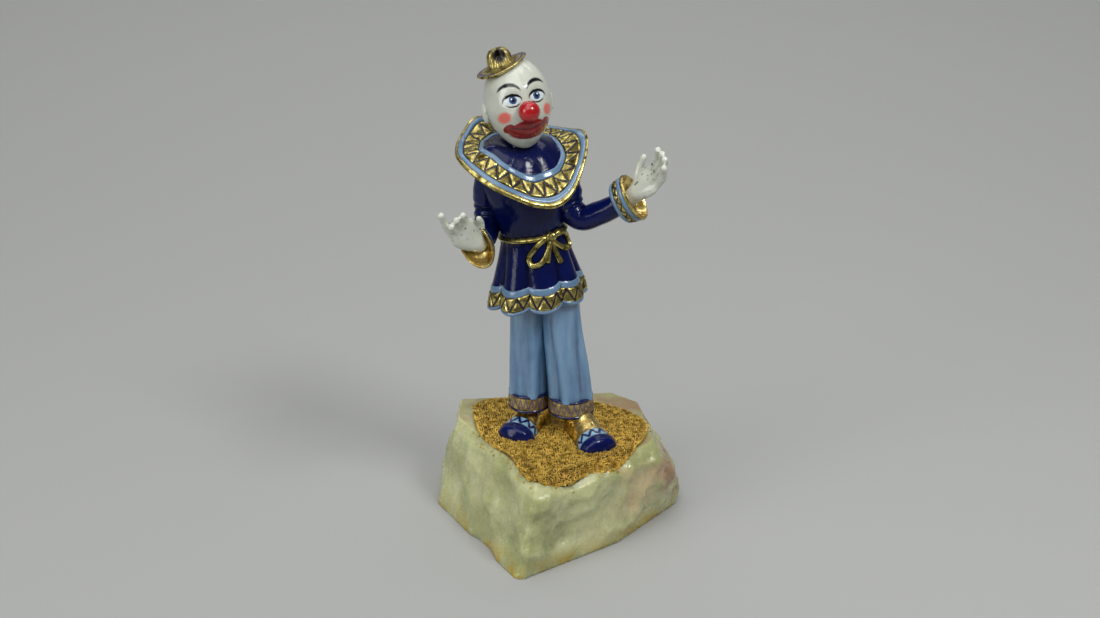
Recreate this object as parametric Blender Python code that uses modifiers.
"""A painted clown figurine, cast in white metal, on a rough block of onyx strewn with gold grit.

The figurine faces -Y, +X is at the right of someone who looks at it, and +Z is up. The origin is the
middle of the block's flat underside. Lengths that can be set by themselves are in metres. The casting
is free sculpture, so it is drawn in millimetres at DRAWN_HEIGHT and takes its size from FIGURE_HEIGHT.
"""

import math

import bmesh
import bpy
import numpy as np
from mathutils import Euler, Matrix, Vector

# Driving dimensions, in metres
STONE_WIDTH = 0.144
STONE_DEPTH = 0.141
STONE_HEIGHT = 0.050
GRIT_THICKNESS = 0.0020
GRIT_LOWEST = 0.84
FIGURE_HEIGHT = 0.2195
STAND_X = -0.0075
STAND_Y = 0.0135
SEAT_GAP = 0.0003
SOLE_CLEARANCE = 0.0004

# Broken faces of the block: the way each faces, its reach at the foot as a share, and its lean
STONE_FACES = (
    (-53.0, 0.300, 1.0),
    (-38.0, 0.300, -11.0),
    (-2.0, 0.458, -18.0),
    (8.0, 0.530, 27.0),
    (48.0, 0.500, 6.0),
    (96.0, 0.461, 8.0),
    (180.0, 0.500, 14.0),
    (209.0, 0.388, 15.0),
    (255.0, 0.512, 11.0),
)
# Sloping edges between the top and a face: the way each faces, its reach at the top, and its slope
STONE_BEVELS = ((-53.0, 0.245, 46.0), (-20.0, 0.335, 52.0), (209.0, 0.268, 45.0))
# Scooped chips: the way, the reach of the deepest point, its height share, and the scoop's radius share
STONE_CHIPS = ((214.0, 0.368, 0.05, 0.34), (60.0, 0.470, 0.30, 0.30), (-30.0, 0.330, 0.12, 0.22))

# Outline of the grit: angle from +X and reach, as shares of the stone's width
GRIT_OUTLINE = (
    (0, 0.325),
    (18, 0.350),
    (40, 0.338),
    (62, 0.330),
    (95, 0.335),
    (120, 0.390),
    (137, 0.450),
    (156, 0.380),
    (180, 0.310),
    (200, 0.272),
    (222, 0.262),
    (240, 0.320),
    (255, 0.384),
    (272, 0.335),
    (290, 0.280),
    (314, 0.286),
    (334, 0.290),
)

# The casting's drawing: millimetres at this height from sole to hat
DRAWN_HEIGHT = 219.5
FIGURE_SCALE = FIGURE_HEIGHT / DRAWN_HEIGHT

# Rows of height, centre x, centre y, half width, half depth and tilt in degrees, from neck to hem
TUNIC_ROWS = (
    (171.0, -14.6, -1.5, 7.0, 7.0, 4.0),
    (164.5, -14.4, 0.0, 10.0, 9.5, 4.0),
    (158.0, -13.8, 1.5, 20.0, 13.0, 5.0),
    (150.0, -13.2, 2.0, 24.0, 15.0, 6.0),
    (139.0, -12.0, 1.2, 22.5, 15.2, 7.0),
    (127.0, -9.8, 0.2, 19.2, 14.2, 8.0),
    (117.0, -8.6, 0.0, 17.4, 13.2, 8.4),
    (108.0, -7.8, 0.0, 19.0, 15.0, 8.2),
    (98.0, -7.0, 0.0, 21.6, 17.6, 8.0),
    (87.0, -6.3, 0.0, 24.6, 20.6, 7.8),
    (79.5, -6.0, 0.0, 26.2, 22.2, 7.8),
)
TUNIC_TOP = 170.0
WAIST_HEIGHT = 117.5
HEM_HEIGHT = 79.5
SKIRT_FOLDS = 8
FOLD_START = 12.0
FOLD_DEPTH = 1.9
HEM_DIP = 1.3
HEM_LIP = 1.8

# Rows of height, centre x, centre y, half width and half depth, from cuff to hip
LEFT_LEG_ROWS = (
    (13.0, -10.9, 3.4, 11.3, 13.0),
    (25.0, -10.9, 3.2, 10.9, 12.6),
    (42.0, -10.8, 2.8, 10.7, 12.4),
    (62.0, -10.8, 2.0, 10.7, 12.4),
    (90.0, -11.0, 1.0, 10.8, 12.4),
)
RIGHT_LEG_ROWS = (
    (12.8, 12.7, -3.2, 12.4, 13.8),
    (25.0, 12.0, -3.0, 12.0, 13.2),
    (42.0, 10.2, -2.4, 11.6, 12.9),
    (62.0, 7.6, -1.4, 11.2, 12.8),
    (90.0, 5.2, -0.4, 11.2, 12.8),
)
LEG_TUCK = 10.5
CUFF_RISE = 10.0
CUFF_PROUD = 0.7

# Rows of share of the length from the heel, half width and height
SHOE_ROWS = (
    (0.00, 2.2, 3.0),
    (0.05, 5.0, 8.0),
    (0.18, 7.2, 14.5),
    (0.40, 8.0, 16.5),
    (0.58, 9.2, 12.4),
    (0.74, 10.6, 9.0),
    (0.88, 10.4, 8.2),
    (0.96, 7.6, 6.6),
    (1.00, 3.0, 3.2),
)
SHOE_LENGTH = 41.0
SHOES = (("left_shoe", (-21.0, -19.4), -27.0), ("right_shoe", (30.4, -33.8), 27.0))

# Points along each sleeve and its radius there, from the shoulder to the wrist
RIGHT_SLEEVE = (
    (-6.0, 2.5, 159.0, 5.0),
    (3.0, 2.5, 154.5, 7.8),
    (9.4, 1.8, 141.0, 8.0),
    (11.8, 0.4, 130.4, 7.8),
    (17.4, -2.0, 126.2, 7.2),
    (27.0, -5.4, 129.8, 6.4),
    (38.0, -9.4, 136.4, 5.8),
)
LEFT_SLEEVE = (
    (-20.0, 1.5, 159.0, 5.0),
    (-28.0, 1.5, 154.0, 7.6),
    (-32.4, 2.6, 141.0, 7.9),
    (-32.6, 3.0, 129.5, 7.6),
    (-33.2, -2.6, 122.0, 7.3),
    (-34.2, -12.0, 119.6, 6.9),
    (-35.2, -20.5, 119.8, 6.4),
    (-36.4, -29.0, 121.4, 6.0),
)
# Distance along the arm and radius of the flared cuff, from the sleeve round the lip and back inside
SLEEVE_CUFF = (
    (-1.6, 4.0),
    (-0.9, 9.8),
    (0.2, 11.6),
    (4.6, 12.5),
    (8.8, 13.3),
    (9.8, 12.7),
    (6.0, 9.0),
    (3.8, 4.0),
)
RIGHT_CUFF_FLATNESS = 0.76
LEFT_CUFF_FLATNESS = 0.64
LEFT_WRIST = (-37.4, -34.6, 123.4)
RIGHT_WRIST = (46.2, -13.2, 143.6)
LEFT_CUFF_ROLL = 30.0

# Open hands, along the arm from the wrist. The palm's rows are distance, half width and half thickness
PALM_ROWS = (
    (-11.0, 4.6, 4.4),
    (0.0, 5.4, 4.4),
    (4.0, 7.2, 4.2),
    (9.0, 8.6, 3.8),
    (13.0, 8.2, 3.0),
    (15.0, 6.4, 2.0),
)
# Fingers: place across the palm and length, and the thumb's points with their radii
FINGERS = ((-5.4, 11.0), (-1.9, 13.4), (1.7, 13.2), (5.2, 11.6))
FINGER_RADII = (2.4, 2.3, 2.1, 1.8)
THUMB = ((2.5, 3.6, 0.0, 2.7), (7.0, 8.8, 1.2, 2.5), (12.0, 11.6, 2.6, 2.1), (16.5, 12.4, 4.0, 1.7))
# The way along each hand and out of its palm, the fingers' curl and extra length, the share of the
# thumb, and how much further the outer finger is stretched
LEFT_HAND = {
    "ahead": (-0.64, -0.38, 0.68),
    "palm_up": (0.30, -0.90, 0.20),
    "curl": 9.0,
    "longer": -2.4,
    "thumb_share": 0.62,
    "stretch": 8.0,
}
RIGHT_HAND = {
    "ahead": (0.66, -0.25, 0.72),
    "palm_up": (-0.75, -0.45, 0.35),
    "curl": 7.0,
    "longer": 1.6,
    "thumb_share": 0.92,
    "stretch": 0.0,
}

# Collar: its centre and half sizes, and the share of them where the neck edge and inner stripe lie
COLLAR_X = -14.3
COLLAR_Y = -2.6
COLLAR_HALF_WIDTH = 34.6
COLLAR_HALF_DEPTH = 29.0
COLLAR_NECK_SHARE = 0.27
COLLAR_INNER_SHARE = 0.62
COLLAR_EDGE = 2.2
# Round the collar from the back: angle, height of the inner stripe, height and reach of the edge
COLLAR_ROWS = (
    (-180, 168.6, 171.5, 0.98),
    (-155, 168.8, 174.0, 0.99),
    (-134, 168.6, 176.4, 1.02),
    (-113, 167.4, 169.0, 1.02),
    (-90, 166.4, 165.0, 1.00),
    (-68, 166.0, 162.6, 1.01),
    (-45, 164.0, 157.6, 0.99),
    (-25, 160.4, 153.0, 1.01),
    (-5, 156.2, 148.0, 1.00),
    (15, 153.4, 143.4, 1.01),
    (32, 153.8, 142.6, 1.02),
    (50, 155.0, 147.0, 1.00),
    (68, 156.6, 157.2, 0.99),
    (88, 160.4, 166.8, 1.00),
    (110, 165.4, 171.6, 1.02),
    (134, 167.6, 170.4, 1.00),
    (157, 168.4, 170.6, 0.97),
)

HEAD_CENTRE = (-16.0, -4.5, 190.4)
HEAD_HALF = (17.6, 19.2, 24.2)
HEAD_TURN = (-14.0, -8.0, 17.0)
# Lumps on the head: across, ahead of the face or of the ears' line, height, and half sizes
NOSE = (0.0, 1.8, -4.6, (5.6, 5.6, 5.6))
LIPS = (0.0, -4.2, -13.6, (8.4, 3.4, 3.3))
MOUTH_CORNER = (9.0, -6.4, -12.0, (2.8, 2.8, 2.6))
EAR = (17.4, -21.7, -2.0, (2.2, 3.6, 5.6))
HAT_CENTRE = (-24.4, -2.6, 208.6)
HAT_LEAN = 15.0
BRIM_LEAN = 25.0
BRIM_RADIUS = 13.8
CROWN_RADIUS = 6.7
CROWN_HEIGHT = 10.6
SKULL_TUCK = 0.2

SHARP_ANGLE = 42.0

CORD_RADIUS = 1.45
KNOT_TURN = 33.0
# The bow's loops and ends: angle round the waist from the knot, and height over the waist
BOW_LEFT_LOOP = (
    (0, -0.5),
    (-15, -1.5),
    (-31, -5.0),
    (-41, -10.0),
    (-37, -13.3),
    (-25, -12.9),
    (-11, -8.0),
    (0, -1.7),
)
BOW_RIGHT_LOOP = (
    (0, 0.0),
    (19, 1.5),
    (35, -0.5),
    (45, -5.5),
    (40, -9.1),
    (25, -8.5),
    (10, -5.0),
    (0, -1.3),
)
BOW_ENDS = (((0, -1.5), (4, -7.0), (9, -14.5)), ((-2, -1.5), (-8, -7.5), (-12, -12.5)))


def clear_scene():
    for thing in list(bpy.data.objects):
        bpy.data.objects.remove(thing, do_unlink=True)


def collection(name):
    made = bpy.data.collections.new(name)
    bpy.context.scene.collection.children.link(made)
    return made


def material(name, colour, roughness, metallic=0.0):
    made = bpy.data.materials.new(name)
    made.use_nodes = True
    shader = made.node_tree.nodes["Principled BSDF"]
    shader.inputs["Base Color"].default_value = (*colour, 1.0)
    shader.inputs["Roughness"].default_value = roughness
    shader.inputs["Metallic"].default_value = metallic
    return made


def through(knots, values, at):
    """A smooth curve through the values at the knots, read at one or more places."""
    knots = np.asarray(knots, float)
    values = np.asarray(values, float)
    at = np.clip(np.asarray(at, float), knots[0], knots[-1])
    slopes = np.gradient(values, knots, axis=0)
    i = np.clip(np.searchsorted(knots, at, side="right") - 1, 0, len(knots) - 2)
    step = knots[i + 1] - knots[i]
    t = (at - knots[i]) / step
    if values.ndim > 1:
        t, step = t[..., None], step[..., None]
    start = (1 + 2 * t) * (1 - t) ** 2 * values[i] + t * (1 - t) ** 2 * step * slopes[i]
    end = t * t * (3 - 2 * t) * values[i + 1] + t * t * (t - 1) * step * slopes[i + 1]
    return start + end


def loft(name, rings):
    """A closed solid through rings of points that run the same way round, with flat ends."""
    shape = bmesh.new()
    rows = [[shape.verts.new(p) for p in ring] for ring in rings]
    count = len(rows[0])
    for low, high in zip(rows[:-1], rows[1:]):
        for k in range(count):
            n = (k + 1) % count
            shape.faces.new((low[k], low[n], high[n], high[k]))
    shape.faces.new(rows[0])
    shape.faces.new(rows[-1])
    bmesh.ops.recalc_face_normals(shape, faces=shape.faces)
    mesh = bpy.data.meshes.new(name)
    shape.to_mesh(mesh)
    shape.free()
    return bpy.data.objects.new(name, mesh)


def turns(count):
    """Angles round a ring. Zero is the front, and the angle grows towards +X."""
    return np.arange(count) / count * 2 * math.pi


def ring(height, x, y, half_width, half_depth, tilt, angles):
    """A ring round the body, whose +X side is raised by the tilt."""
    across = half_width * np.sin(angles)
    return np.stack(
        [
            x + across * math.cos(tilt),
            y - half_depth * np.cos(angles),
            height + across * math.sin(tilt),
        ],
        axis=1,
    )


def tunic_row(height):
    """Centre, half sizes and tilt of the tunic at a height."""
    rows = np.array(TUNIC_ROWS)[::-1]
    x, y, half_width, half_depth, tilt = through(rows[:, 0], rows[:, 1:], height)
    return x, y, half_width, half_depth, math.radians(tilt)


def skirt_fold(angles):
    """Rounded crests with sharp valleys between them, from 1 down to -1."""
    wave = np.abs(np.cos(SKIRT_FOLDS / 2 * (angles - math.radians(FOLD_START))))
    return 2 * wave**0.8 - 1


def fold_share(height):
    """How far the folds have grown at a height, from 0 at the waist to 1 at the hem."""
    return min(max((WAIST_HEIGHT - height) / (WAIST_HEIGHT - HEM_HEIGHT), 0.0), 1.0) ** 0.8


def tunic_ring(height, angles, proud=0.0):
    """One ring of the tunic's side, or of a line proud of it."""
    x, y, half_width, half_depth, tilt = tunic_row(height)
    out = skirt_fold(angles) * FOLD_DEPTH * fold_share(height) + proud
    return ring(height, x, y, half_width + out, half_depth + out, tilt, angles)


def hem_ring(angles, inset, rise):
    """One ring of the skirt's lower edge, which dips at each fold."""
    points = tunic_ring(HEM_HEIGHT, angles, -inset)
    points[:, 2] += rise - HEM_DIP * skirt_fold(angles)
    return points


def tunic():
    angles = turns(48)
    upper = np.linspace(TUNIC_TOP, WAIST_HEIGHT, 6)
    skirt = np.linspace(WAIST_HEIGHT - 7, HEM_HEIGHT, 5)
    rings = [tunic_ring(height, angles) for height in (*upper, *skirt[:-1])]
    rings.append(hem_ring(angles, 0.0, 0.0))
    rings.append(hem_ring(angles, HEM_LIP, -0.8))
    rings.append(hem_ring(angles, HEM_LIP + 2.5, 3.5))
    return loft("tunic", rings)


def leg(name, rows):
    """A trouser leg with a slightly raised cuff at its foot."""
    rows = np.array(rows)
    angles = turns(20)
    foot = rows[0, 0]
    cuff = foot + CUFF_RISE
    top = HEM_HEIGHT + LEG_TUCK
    heights = [foot, foot + 1.2, cuff - 0.8, cuff, *np.linspace(cuff + 16, top, 3)]
    proud = [CUFF_PROUD * 0.4, CUFF_PROUD, CUFF_PROUD, 0.0, 0.0, 0.0, 0.0]
    rings = []
    for height, extra in zip(heights, proud):
        x, y, half_width, half_depth = through(rows[:, 0], rows[:, 1:], height)
        rings.append(ring(height, x, y, half_width + extra, half_depth + extra, 0.0, angles))
    return loft(name, rings)


def shoe_rows(toe, turn, grow=0.0):
    """Along a shoe from heel to toe: middle, half width and height, and the way across it."""
    rows = np.array(SHOE_ROWS)
    turn = math.radians(turn)
    ahead = np.array([math.sin(turn), -math.cos(turn), 0.0])
    aside = np.array([math.cos(turn), math.sin(turn), 0.0])
    found = []
    for share in (0.0, 0.05, 0.18, 0.40, 0.54, 0.66, 0.78, 0.88, 0.96, 1.0):
        half_width, height = through(rows[:, 0], rows[:, 1:], share)
        back = (SHOE_LENGTH + 2 * grow) * (1 - share) - grow
        found.append((np.array([*toe, 0.0]) - ahead * back, half_width + grow, height))
    return found, aside


def shoe(name, toe, turn):
    """A round-toed shoe with a flat sole, from its toe point and the way that it points."""
    around = turns(16)
    rows, aside = shoe_rows(toe, turn)
    rings = []
    for centre, half_width, height in rows:
        up = height * np.maximum(np.sin(around), 0.0) ** 0.85
        across = np.outer(half_width * np.cos(around), aside)
        rings.append(centre + across + np.outer(up, (0, 0, 1)))
    return loft(name, rings)


def sole_room(name, toe, turn, grow):
    """The upright space round a sole that is kept free of grit."""
    rows, aside = shoe_rows(toe, turn, grow)
    right = [centre + aside * half_width for centre, half_width, height in rows]
    left = [centre - aside * half_width for centre, half_width, height in rows]
    outline = np.array(right + left[::-1])
    return loft(name, [outline - (0, 0, 6.0), outline + (0, 0, 6.0)])


def frames_along(points, closed=False):
    """Directions along and across a path, carried on without a twist."""
    if closed:
        ways = np.roll(points, -1, axis=0) - np.roll(points, 1, axis=0)
    else:
        ways = np.gradient(points, axis=0)
    ways /= np.linalg.norm(ways, axis=1)[:, None]
    side = np.cross(ways[0], (0.0, 0.0, 1.0))
    if np.linalg.norm(side) < 0.2:
        side = np.cross(ways[0], (0.0, 1.0, 0.0))
    sides = []
    for way in ways:
        side = side - way * side.dot(way)
        side = side / np.linalg.norm(side)
        sides.append(side)
    sides = np.array(sides)
    return ways, sides, np.cross(sides, ways)


def swept(name, points, radii, around, flat=1.0, round_ends=False):
    """A tube through the points, whose radius may change. Flat is its thickness as a share."""
    points = np.asarray(points, float)
    radii = np.broadcast_to(np.asarray(radii, float), (len(points),))
    ways, sides, ups = frames_along(points)
    if round_ends:
        first = points[0] - ways[0] * radii[0] * 0.6
        last = points[-1] + ways[-1] * radii[-1] * 0.6
        points = np.concatenate([[first], points, [last]])
        radii = np.concatenate([[radii[0] * 0.55], radii, [radii[-1] * 0.55]])
        sides = np.concatenate([sides[:1], sides, sides[-1:]])
        ups = np.concatenate([ups[:1], ups, ups[-1:]])
    angles = turns(around)
    rings = [
        p + r * (np.outer(np.cos(angles), s) + flat * np.outer(np.sin(angles), u))
        for p, r, s, u in zip(points, radii, sides, ups)
    ]
    return loft(name, rings)


def smooth_path(points, count):
    """A smooth run of points through a few chosen ones."""
    points = np.asarray(points, float)
    steps = np.linalg.norm(np.diff(points[:, :3], axis=0), axis=1)
    knots = np.concatenate([[0], np.cumsum(steps)])
    return through(knots, points, np.linspace(0, knots[-1], count))


def sleeve(name, rows):
    path = smooth_path(rows, 10)
    return swept(name, path[:, :3], path[:, 3], around=14)


def sleeve_end(rows):
    """Where a sleeve ends, and the direction it ends in."""
    path = smooth_path(rows, 40)
    way = path[-1, :3] - path[-5, :3]
    return Vector(path[-1, :3]), Vector(way).normalized()


def sleeve_cuff(name, rows, flatness, roll):
    """The flared cuff is a turned shape, flattened a little, on the sleeve's own axis."""
    end, way = sleeve_end(rows)
    mesh = bpy.data.meshes.new(name)
    shape = bmesh.new()
    outline = [(SLEEVE_CUFF[0][0], 0.0), *SLEEVE_CUFF, (SLEEVE_CUFF[-1][0], 0.0)]
    corners = [shape.verts.new((radius, 0.0, along)) for along, radius in outline]
    for first, second in zip(corners[:-1], corners[1:]):
        shape.edges.new((first, second))
    shape.to_mesh(mesh)
    shape.free()
    cuff = bpy.data.objects.new(name, mesh)
    bpy.context.scene.collection.objects.link(cuff)
    screw = cuff.modifiers.new("turn", "SCREW")
    screw.steps = screw.render_steps = 20
    screw.use_merge_vertices = True
    screw.merge_threshold = 0.0001
    screw.use_normal_calculate = True
    solid = evaluated_copy(cuff, name)
    bpy.data.objects.remove(cuff)
    flat = Matrix.Rotation(math.radians(roll), 4, "Z") @ Matrix.Diagonal((flatness, 1, 1, 1))
    aim = way.to_track_quat("Z", "Y").to_matrix().to_4x4()
    solid.data.transform(Matrix.Translation(end) @ aim @ flat)
    return solid


def smooth_shaded(thing):
    """Shades a rounded piece smooth, apart from the edges that really are sharp."""
    thing.data.shade_smooth()
    thing.data.set_sharp_from_angle(angle=math.radians(SHARP_ANGLE))


def evaluated_copy(thing, name):
    """A new object that holds the shape with its modifiers carried out."""
    graph = bpy.context.evaluated_depsgraph_get()
    mesh = bpy.data.meshes.new_from_object(thing.evaluated_get(graph))
    shape = bmesh.new()
    shape.from_mesh(mesh)
    bmesh.ops.remove_doubles(shape, verts=shape.verts, dist=1e-4)
    bmesh.ops.recalc_face_normals(shape, faces=shape.faces)
    shape.to_mesh(mesh)
    shape.free()
    mesh.name = name
    return bpy.data.objects.new(name, mesh)


def ball(name, centre, half_sizes, segments=16, rings=10):
    """A round or egg-shaped lump."""
    mesh = bpy.data.meshes.new(name)
    shape = bmesh.new()
    bmesh.ops.create_uvsphere(shape, u_segments=segments, v_segments=rings, radius=1.0)
    shape.to_mesh(mesh)
    shape.free()
    mesh.transform(Matrix.Translation(centre) @ Matrix.Diagonal((*half_sizes, 1.0)))
    return bpy.data.objects.new(name, mesh)


def head_matrix():
    """Carries the head's own frame, which faces -Y, to its tilted place on the neck."""
    nod, lean, turn = (math.radians(a) for a in HEAD_TURN)
    return Matrix.Translation(HEAD_CENTRE) @ Euler((nod, lean, turn), "XYZ").to_matrix().to_4x4()


def swell(away, reach):
    """A smooth rise that is 1 at its middle and fades over the reach."""
    return math.exp(-((away / reach) ** 2))


def face_lump(name, lump, side, segments, rings):
    """A round lump that is set on the head, in the head's own frame."""
    across, ahead, height, half_sizes = lump
    return ball(name, (side * across, -HEAD_HALF[1] - ahead, height), half_sizes, segments, rings)


def under_brim(place):
    """Where a point of the skull goes so that it stays under the hat's brim."""
    lean = math.radians(BRIM_LEAN)
    up = Vector((-math.sin(lean), 0.0, math.cos(lean)))
    over = (place - Vector(HAT_CENTRE)).dot(up) + SKULL_TUCK
    return place - up * max(over, 0.0)


def head():
    """A bald egg-shaped head: a narrow jaw, a chin, brows, hollow eyes and full cheeks."""
    skull = ball("head", (0, 0, 0), (1, 1, 1), segments=20, rings=14)
    for corner in skull.data.vertices:
        x, y, z = corner.co
        front = max(-y, 0.0)
        jaw = max(-z, 0.0)
        wide = 1 - 0.20 * jaw**1.5
        deep = 1 - 0.10 * jaw
        side = abs(x)
        chin = 1.6 * front**2 * swell(z + 0.86, 0.22) * swell(side, 0.4)
        brow = 0.7 * front**3 * swell(z - 0.34, 0.13)
        eyes = -1.3 * front**3 * swell(z - 0.12, 0.15) * swell(side - 0.36, 0.2)
        cheek = 1.0 * front**2 * swell(z + 0.22, 0.22) * swell(side - 0.52, 0.25)
        corner.co = (
            x * HEAD_HALF[0] * wide,
            y * HEAD_HALF[1] * deep - (chin + brow + eyes + cheek),
            z * HEAD_HALF[2],
        )
    pieces = [skull, face_lump("nose", NOSE, 1, 14, 8), face_lump("lips", LIPS, 1, 14, 8)]
    for side in (-1, 1):
        pieces.append(face_lump("ear", EAR, side, 8, 6))
        pieces.append(face_lump("mouth_corner", MOUTH_CORNER, side, 8, 6))
    for piece in pieces:
        piece.data.transform(head_matrix())
    for corner in skull.data.vertices:
        corner.co = under_brim(corner.co)
    return pieces


def hat():
    """A small bowler, from rows of rise, radius and share of the brim's lean."""
    angles = turns(22)
    centre = np.array(HAT_CENTRE)
    up = np.array([-math.sin(math.radians(HAT_LEAN)), 0.0, math.cos(math.radians(HAT_LEAN))])
    rows = (
        (-0.6, 6.0, 1.0),
        (-0.9, 11.6, 1.0),
        (-0.2, BRIM_RADIUS, 1.0),
        (0.9, BRIM_RADIUS, 1.0),
        (0.9, 11.4, 1.0),
        (1.2, 8.2, 0.8),
        (3.2, CROWN_RADIUS, 0.5),
        (7.2, CROWN_RADIUS * 0.92, 0.2),
        (9.8, CROWN_RADIUS * 0.62, 0.0),
        (CROWN_HEIGHT, CROWN_RADIUS * 0.22, 0.0),
    )
    rings = []
    for rise, radius, brim_share in rows:
        lean = math.radians(HAT_LEAN + (BRIM_LEAN - HAT_LEAN) * brim_share)
        across = radius * np.sin(angles)
        curl = 0.9 * np.sin(angles) ** 2 if radius > CROWN_RADIUS * 1.3 else 0.0
        level = [across * math.cos(lean), -radius * np.cos(angles), across * math.sin(lean) + curl]
        rings.append(centre + up * rise + np.stack(level, axis=1))
    return loft("hat", rings)


def collar_point(share, angles):
    """A point of the collar's upper face. The share runs from 0 at the neck to 1 at the outer edge."""
    rows = np.array([*COLLAR_ROWS, (180, *COLLAR_ROWS[0][1:])], float)
    wrapped = (np.degrees(angles) + 180) % 360 - 180
    inner, edge, reach = through(rows[:, 0], rows[:, 1:], wrapped).T
    cos, sin = np.cos(angles), np.sin(angles)
    neck = 169.0 - 2.5 * cos
    stripe = (COLLAR_INNER_SHARE - COLLAR_NECK_SHARE) / (1 - COLLAR_NECK_SHARE)
    bulge = 1.2 * math.sin(math.pi * min(share / stripe, 1.0)) * (1 + cos)
    height = through((0.0, stripe, 1.0), np.stack([neck, inner, edge]), share) + bulge
    spread = COLLAR_NECK_SHARE + (1 - COLLAR_NECK_SHARE) * share + (reach - 1) * share**2
    return np.stack(
        [
            COLLAR_X + COLLAR_HALF_WIDTH * spread * sin,
            COLLAR_Y - COLLAR_HALF_DEPTH * spread * cos,
            height,
        ],
        axis=1,
    )


def collar():
    """The wide ruffled collar, from its neck edge over the rolled rim and back under to the chest."""
    angles = turns(48)
    inner = (COLLAR_INNER_SHARE - COLLAR_NECK_SHARE) / (1 - COLLAR_NECK_SHARE)
    rings = [collar_point(share, angles) for share in (0.0, inner / 2, inner, (inner + 1) / 2, 1.0)]
    down = np.array([0.0, 0.0, 1.0])
    under = collar_point(1.0, angles) - COLLAR_EDGE * down
    tucked = collar_point(0.66, angles) - (COLLAR_EDGE + 1.2) * down
    chest = collar_point(0.20, angles) - 13.0 * down
    return loft("collar", [*rings, under, tucked, chest])


def hand_parts(name, wrist, thumb_side, ahead, palm_up, curl, longer, thumb_share, stretch):
    """An open hand: a wrist with a cupped palm, four curling fingers and a thumb."""
    wrist = np.array(wrist, float)
    ahead = np.array(ahead, float) / np.linalg.norm(ahead)
    up = np.array(palm_up, float)
    up -= ahead * up.dot(ahead)
    up /= np.linalg.norm(up)
    aside = np.cross(ahead, up) * thumb_side
    pieces = []

    def place(along, across, lift):
        return wrist + ahead * along + aside * across + up * lift

    angles = turns(12)
    rings = []
    for along, wide, thick in PALM_ROWS:
        across = np.outer(wide * np.cos(angles), aside)
        rings.append(place(along, 0, 0) + across + np.outer(thick * np.sin(angles), up))
    pieces.append(loft(name + "_palm", rings))
    for k, (across, length) in enumerate(FINGERS):
        more = stretch if k == 0 else 0.0
        reach = length + longer + more
        spread = 0.06 * across + 0.25 * more
        lift = curl / (1 + 0.2 * more)
        path = [
            place(11.0, across, 0.0),
            place(13.0 + reach * 0.32, across + spread, lift * 0.10),
            place(13.0 + reach * 0.68, across + 2 * spread, lift * 0.42),
            place(13.0 + reach, across + 3 * spread, lift),
        ]
        pieces.append(swept(f"{name}_finger_{k}", path, FINGER_RADII, 6, round_ends=True))
    thumb = [place(along * thumb_share, across * thumb_share**0.4, lift) for along, across, lift, _ in THUMB]
    radii = [point[3] for point in THUMB]
    pieces.append(swept(name + "_thumb", thumb, radii, 7, round_ends=True))
    return pieces


def belt_point(turn, height, proud):
    """A point proud of the tunic, at an angle in degrees from the front and a height."""
    return tunic_ring(height, np.array([math.radians(turn)]), proud)[0]


def bow_point(turn, rise, proud):
    """A point of the bow, from its angle and height at the knot."""
    return belt_point(KNOT_TURN + turn, WAIST_HEIGHT + rise, proud)


def belt():
    """The cord round the waist, with a knot, two loops and two hanging ends."""
    around = turns(32)
    outline = np.array([belt_point(math.degrees(a), WAIST_HEIGHT, 0.2) for a in around])
    ways, sides, ups = frames_along(outline, closed=True)
    section = turns(5)
    shape = bmesh.new()
    rows = []
    for p, s, u in zip(outline, sides, ups):
        points = p + CORD_RADIUS * (np.outer(np.cos(section), s) + np.outer(np.sin(section), u))
        rows.append([shape.verts.new(q) for q in points])
    for low, high in zip(rows, rows[1:] + rows[:1]):
        for k in range(len(section)):
            n = (k + 1) % len(section)
            shape.faces.new((low[k], low[n], high[n], high[k]))
    bmesh.ops.recalc_face_normals(shape, faces=shape.faces)
    mesh = bpy.data.meshes.new("belt")
    shape.to_mesh(mesh)
    shape.free()
    pieces = [bpy.data.objects.new("belt", mesh)]
    knot = belt_point(KNOT_TURN, WAIST_HEIGHT, 1.4)
    pieces.append(ball("knot", knot, (2.9, 2.6, 2.7), 12, 8))
    for name, route in (("left_loop", BOW_LEFT_LOOP), ("right_loop", BOW_RIGHT_LOOP)):
        path = smooth_path([bow_point(turn, rise, 1.0) for turn, rise in route], 10)
        pieces.append(swept(name, path, CORD_RADIUS * 0.92, 6, round_ends=True))
    for k, route in enumerate(BOW_ENDS):
        path = smooth_path([bow_point(turn, rise, 0.6) for turn, rise in route], 5)
        pieces.append(swept(f"cord_end_{k}", path, CORD_RADIUS * 0.8, 6, round_ends=True))
    return pieces


def united(name, pieces, home):
    """One solid from overlapping ones. They are cut into triangles first, and joined in one step."""
    others = bmesh.new()
    for piece in pieces[1:]:
        others.from_mesh(piece.data)
        bpy.data.objects.remove(piece)
    bmesh.ops.triangulate(others, faces=others.faces)
    mesh = bpy.data.meshes.new("others")
    others.to_mesh(mesh)
    others.free()
    rest = bpy.data.objects.new("others", mesh)
    first = pieces[0]
    for thing in (first, rest):
        bpy.context.scene.collection.objects.link(thing)
    union = first.modifiers.new("join", "BOOLEAN")
    union.operation = "UNION"
    union.solver = "EXACT"
    union.use_self = True
    union.object = rest
    body = evaluated_copy(first, name)
    bpy.data.objects.remove(first)
    bpy.data.objects.remove(rest)
    home.objects.link(body)
    keep_outer_skin(body)
    return body


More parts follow.
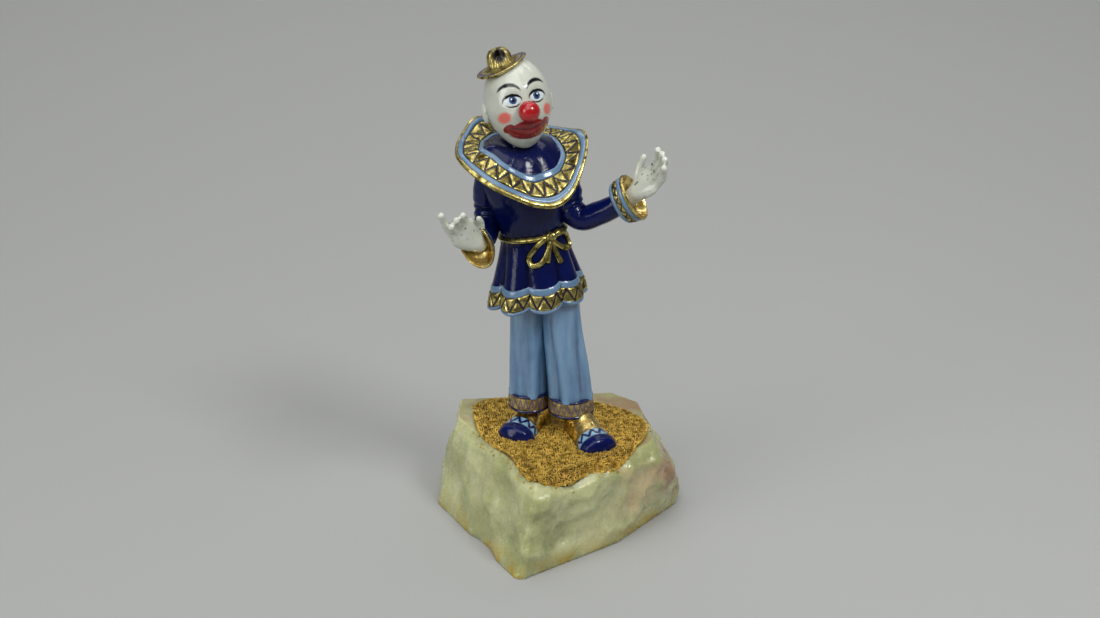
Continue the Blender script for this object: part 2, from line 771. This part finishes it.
def keep_outer_skin(body):
    """Fills the pockets that overlapping shapes shut in, by dropping every skin but the largest."""
    shape = bmesh.new()
    shape.from_mesh(body.data)
    seen = set()
    skins = []
    for start in shape.verts:
        if start in seen:
            continue
        skin, edge = {start}, [start]
        while edge:
            for link in edge.pop().link_edges:
                for corner in link.verts:
                    if corner not in skin:
                        skin.add(corner)
                        edge.append(corner)
        seen |= skin
        skins.append(skin)
    largest = max(skins, key=len)
    spare = [corner for corner in shape.verts if corner not in largest]
    bmesh.ops.delete(shape, geom=spare, context="VERTS")
    shape.to_mesh(body.data)
    shape.free()


def casting(home):
    """The whole painted casting as one solid, standing on the stone."""
    pieces = [tunic(), leg("left_leg", LEFT_LEG_ROWS), leg("right_leg", RIGHT_LEG_ROWS)]
    pieces += [shoe(name, toe, turn) for name, toe, turn in SHOES]
    for side, rows, flatness, roll in (
        ("left", LEFT_SLEEVE, LEFT_CUFF_FLATNESS, LEFT_CUFF_ROLL),
        ("right", RIGHT_SLEEVE, RIGHT_CUFF_FLATNESS, 0.0),
    ):
        pieces.append(sleeve(f"{side}_sleeve", rows))
        pieces.append(sleeve_cuff(f"{side}_cuff", rows, flatness, roll))
    pieces += hand_parts("left_hand", LEFT_WRIST, 1, **LEFT_HAND)
    pieces += hand_parts("right_hand", RIGHT_WRIST, -1, **RIGHT_HAND)
    pieces.append(collar())
    pieces += head()
    pieces.append(hat())
    pieces += belt()
    figure = united("clown_figure", pieces, home)
    figure.data.transform(Matrix.Scale(FIGURE_SCALE, 4))
    figure.location = (STAND_X, STAND_Y, STONE_HEIGHT + SEAT_GAP)
    smooth_shaded(figure)
    return figure


def split_off(shape, point, normal):
    """Cuts a lump with a plane, drops the side that the normal points to and closes the cut."""
    everything = shape.verts[:] + shape.edges[:] + shape.faces[:]
    cut = bmesh.ops.bisect_plane(
        shape, geom=everything, plane_co=point, plane_no=normal, clear_outer=True, dist=1e-7
    )
    edges = [e for e in cut["geom_cut"] if isinstance(e, bmesh.types.BMEdge)]
    if edges:
        bmesh.ops.contextual_create(shape, geom=edges)


def onyx_block(home):
    """A sawn slab of onyx, broken back all round by slanting faces and scooped chips."""
    mesh = bpy.data.meshes.new("onyx_base")
    shape = bmesh.new()
    bmesh.ops.create_cube(shape, size=1.0)
    size = Matrix.Diagonal((STONE_WIDTH, STONE_DEPTH, STONE_HEIGHT, 1.0))
    lift = Matrix.Translation((0, 0, STONE_HEIGHT / 2))
    bmesh.ops.transform(shape, verts=shape.verts, matrix=lift @ size)
    for facing, reach, lean in STONE_FACES:
        way, tip = math.radians(facing), math.radians(lean)
        out = Vector((math.cos(way) * STONE_WIDTH, math.sin(way) * STONE_DEPTH, 0.0))
        normal = Vector((math.cos(way) * math.cos(tip), math.sin(way) * math.cos(tip), math.sin(tip)))
        split_off(shape, out * reach, normal)
    for facing, reach, slope in STONE_BEVELS:
        way, tip = math.radians(facing), math.radians(slope)
        out = Vector((math.cos(way) * STONE_WIDTH, math.sin(way) * STONE_DEPTH, 0.0))
        normal = Vector((math.cos(way) * math.sin(tip), math.sin(way) * math.sin(tip), math.cos(tip)))
        split_off(shape, out * reach + Vector((0, 0, STONE_HEIGHT)), normal)
    bmesh.ops.recalc_face_normals(shape, faces=shape.faces)
    shape.to_mesh(mesh)
    shape.free()
    block = bpy.data.objects.new("onyx_base", mesh)
    home.objects.link(block)
    return block


def chip_cutters(block, home):
    for k, (facing, reach, rise, radius) in enumerate(STONE_CHIPS):
        way = math.radians(facing)
        away = (reach + radius) * STONE_WIDTH
        centre = (math.cos(way) * away, math.sin(way) * away, rise * STONE_HEIGHT)
        cutter = ball(f"chip_{k}", centre, (radius * STONE_WIDTH,) * 3, 28, 20)
        chip = block.modifiers.new(f"chip_{k}", "BOOLEAN")
        chip.operation = "DIFFERENCE"
        chip.solver = "EXACT"
        chip.object = hidden(cutter, home)


def grit_outline(count):
    """Points of the grit's wavy edge on the stone's top."""
    corners = np.array([*GRIT_OUTLINE, (360 + GRIT_OUTLINE[0][0], GRIT_OUTLINE[0][1])], float)
    angles = np.arange(count) / count * 360
    reach = through(corners[:, 0], corners[:, 1], angles) * STONE_WIDTH
    angles = np.radians(angles)
    return np.stack([reach * np.cos(angles), reach * np.sin(angles)], axis=1)


def hidden(cutter, home):
    cutter.hide_render = True
    cutter.display_type = "WIRE"
    home.objects.link(cutter)
    return cutter


def gold_grit(block, home, cutters):
    """The grit follows the stone's top and its sloping edge, and is open where the soles stand."""
    outline = grit_outline(72)
    heights = (STONE_HEIGHT * GRIT_LOWEST, STONE_HEIGHT * 1.2)
    rings = [np.column_stack([outline, np.full(len(outline), z)]) for z in heights]
    grit = loft("gold_ground", rings)
    home.objects.link(grit)
    steps = []
    for name, rise, operation in (
        ("grit_top", SEAT_GAP + GRIT_THICKNESS, "INTERSECT"),
        ("grit_bed", SEAT_GAP, "DIFFERENCE"),
    ):
        lifted = bpy.data.objects.new(name, block.data.copy())
        lifted.data.transform(Matrix.Translation((0, 0, rise)))
        steps.append((lifted, operation))
    grow = SOLE_CLEARANCE / FIGURE_SCALE
    for name, toe, turn in SHOES:
        sole = sole_room(name + "_room", toe, turn, grow)
        sole.data.transform(Matrix.Scale(FIGURE_SCALE, 4))
        sole.location = (STAND_X, STAND_Y, STONE_HEIGHT + SEAT_GAP)
        steps.append((sole, "DIFFERENCE"))
    for cutter, operation in steps:
        cut = grit.modifiers.new(cutter.name, "BOOLEAN")
        cut.operation = operation
        cut.solver = "EXACT"
        cut.object = hidden(cutter, cutters)
    return grit


def main():
    clear_scene()
    parts = collection("clown_figurine")
    cutters = collection("cutters")
    enamel = material("blue_enamel", (0.02, 0.03, 0.22), 0.15)
    onyx = material("onyx", (0.62, 0.66, 0.50), 0.30)
    gold = material("gold_ground", (0.70, 0.47, 0.10), 0.40, metallic=0.8)
    figure = casting(parts)
    figure.data.materials.append(enamel)
    block = onyx_block(parts)
    block.data.materials.append(onyx)
    chip_cutters(block, cutters)
    grit = gold_grit(block, parts, cutters)
    grit.data.materials.append(gold)


main()
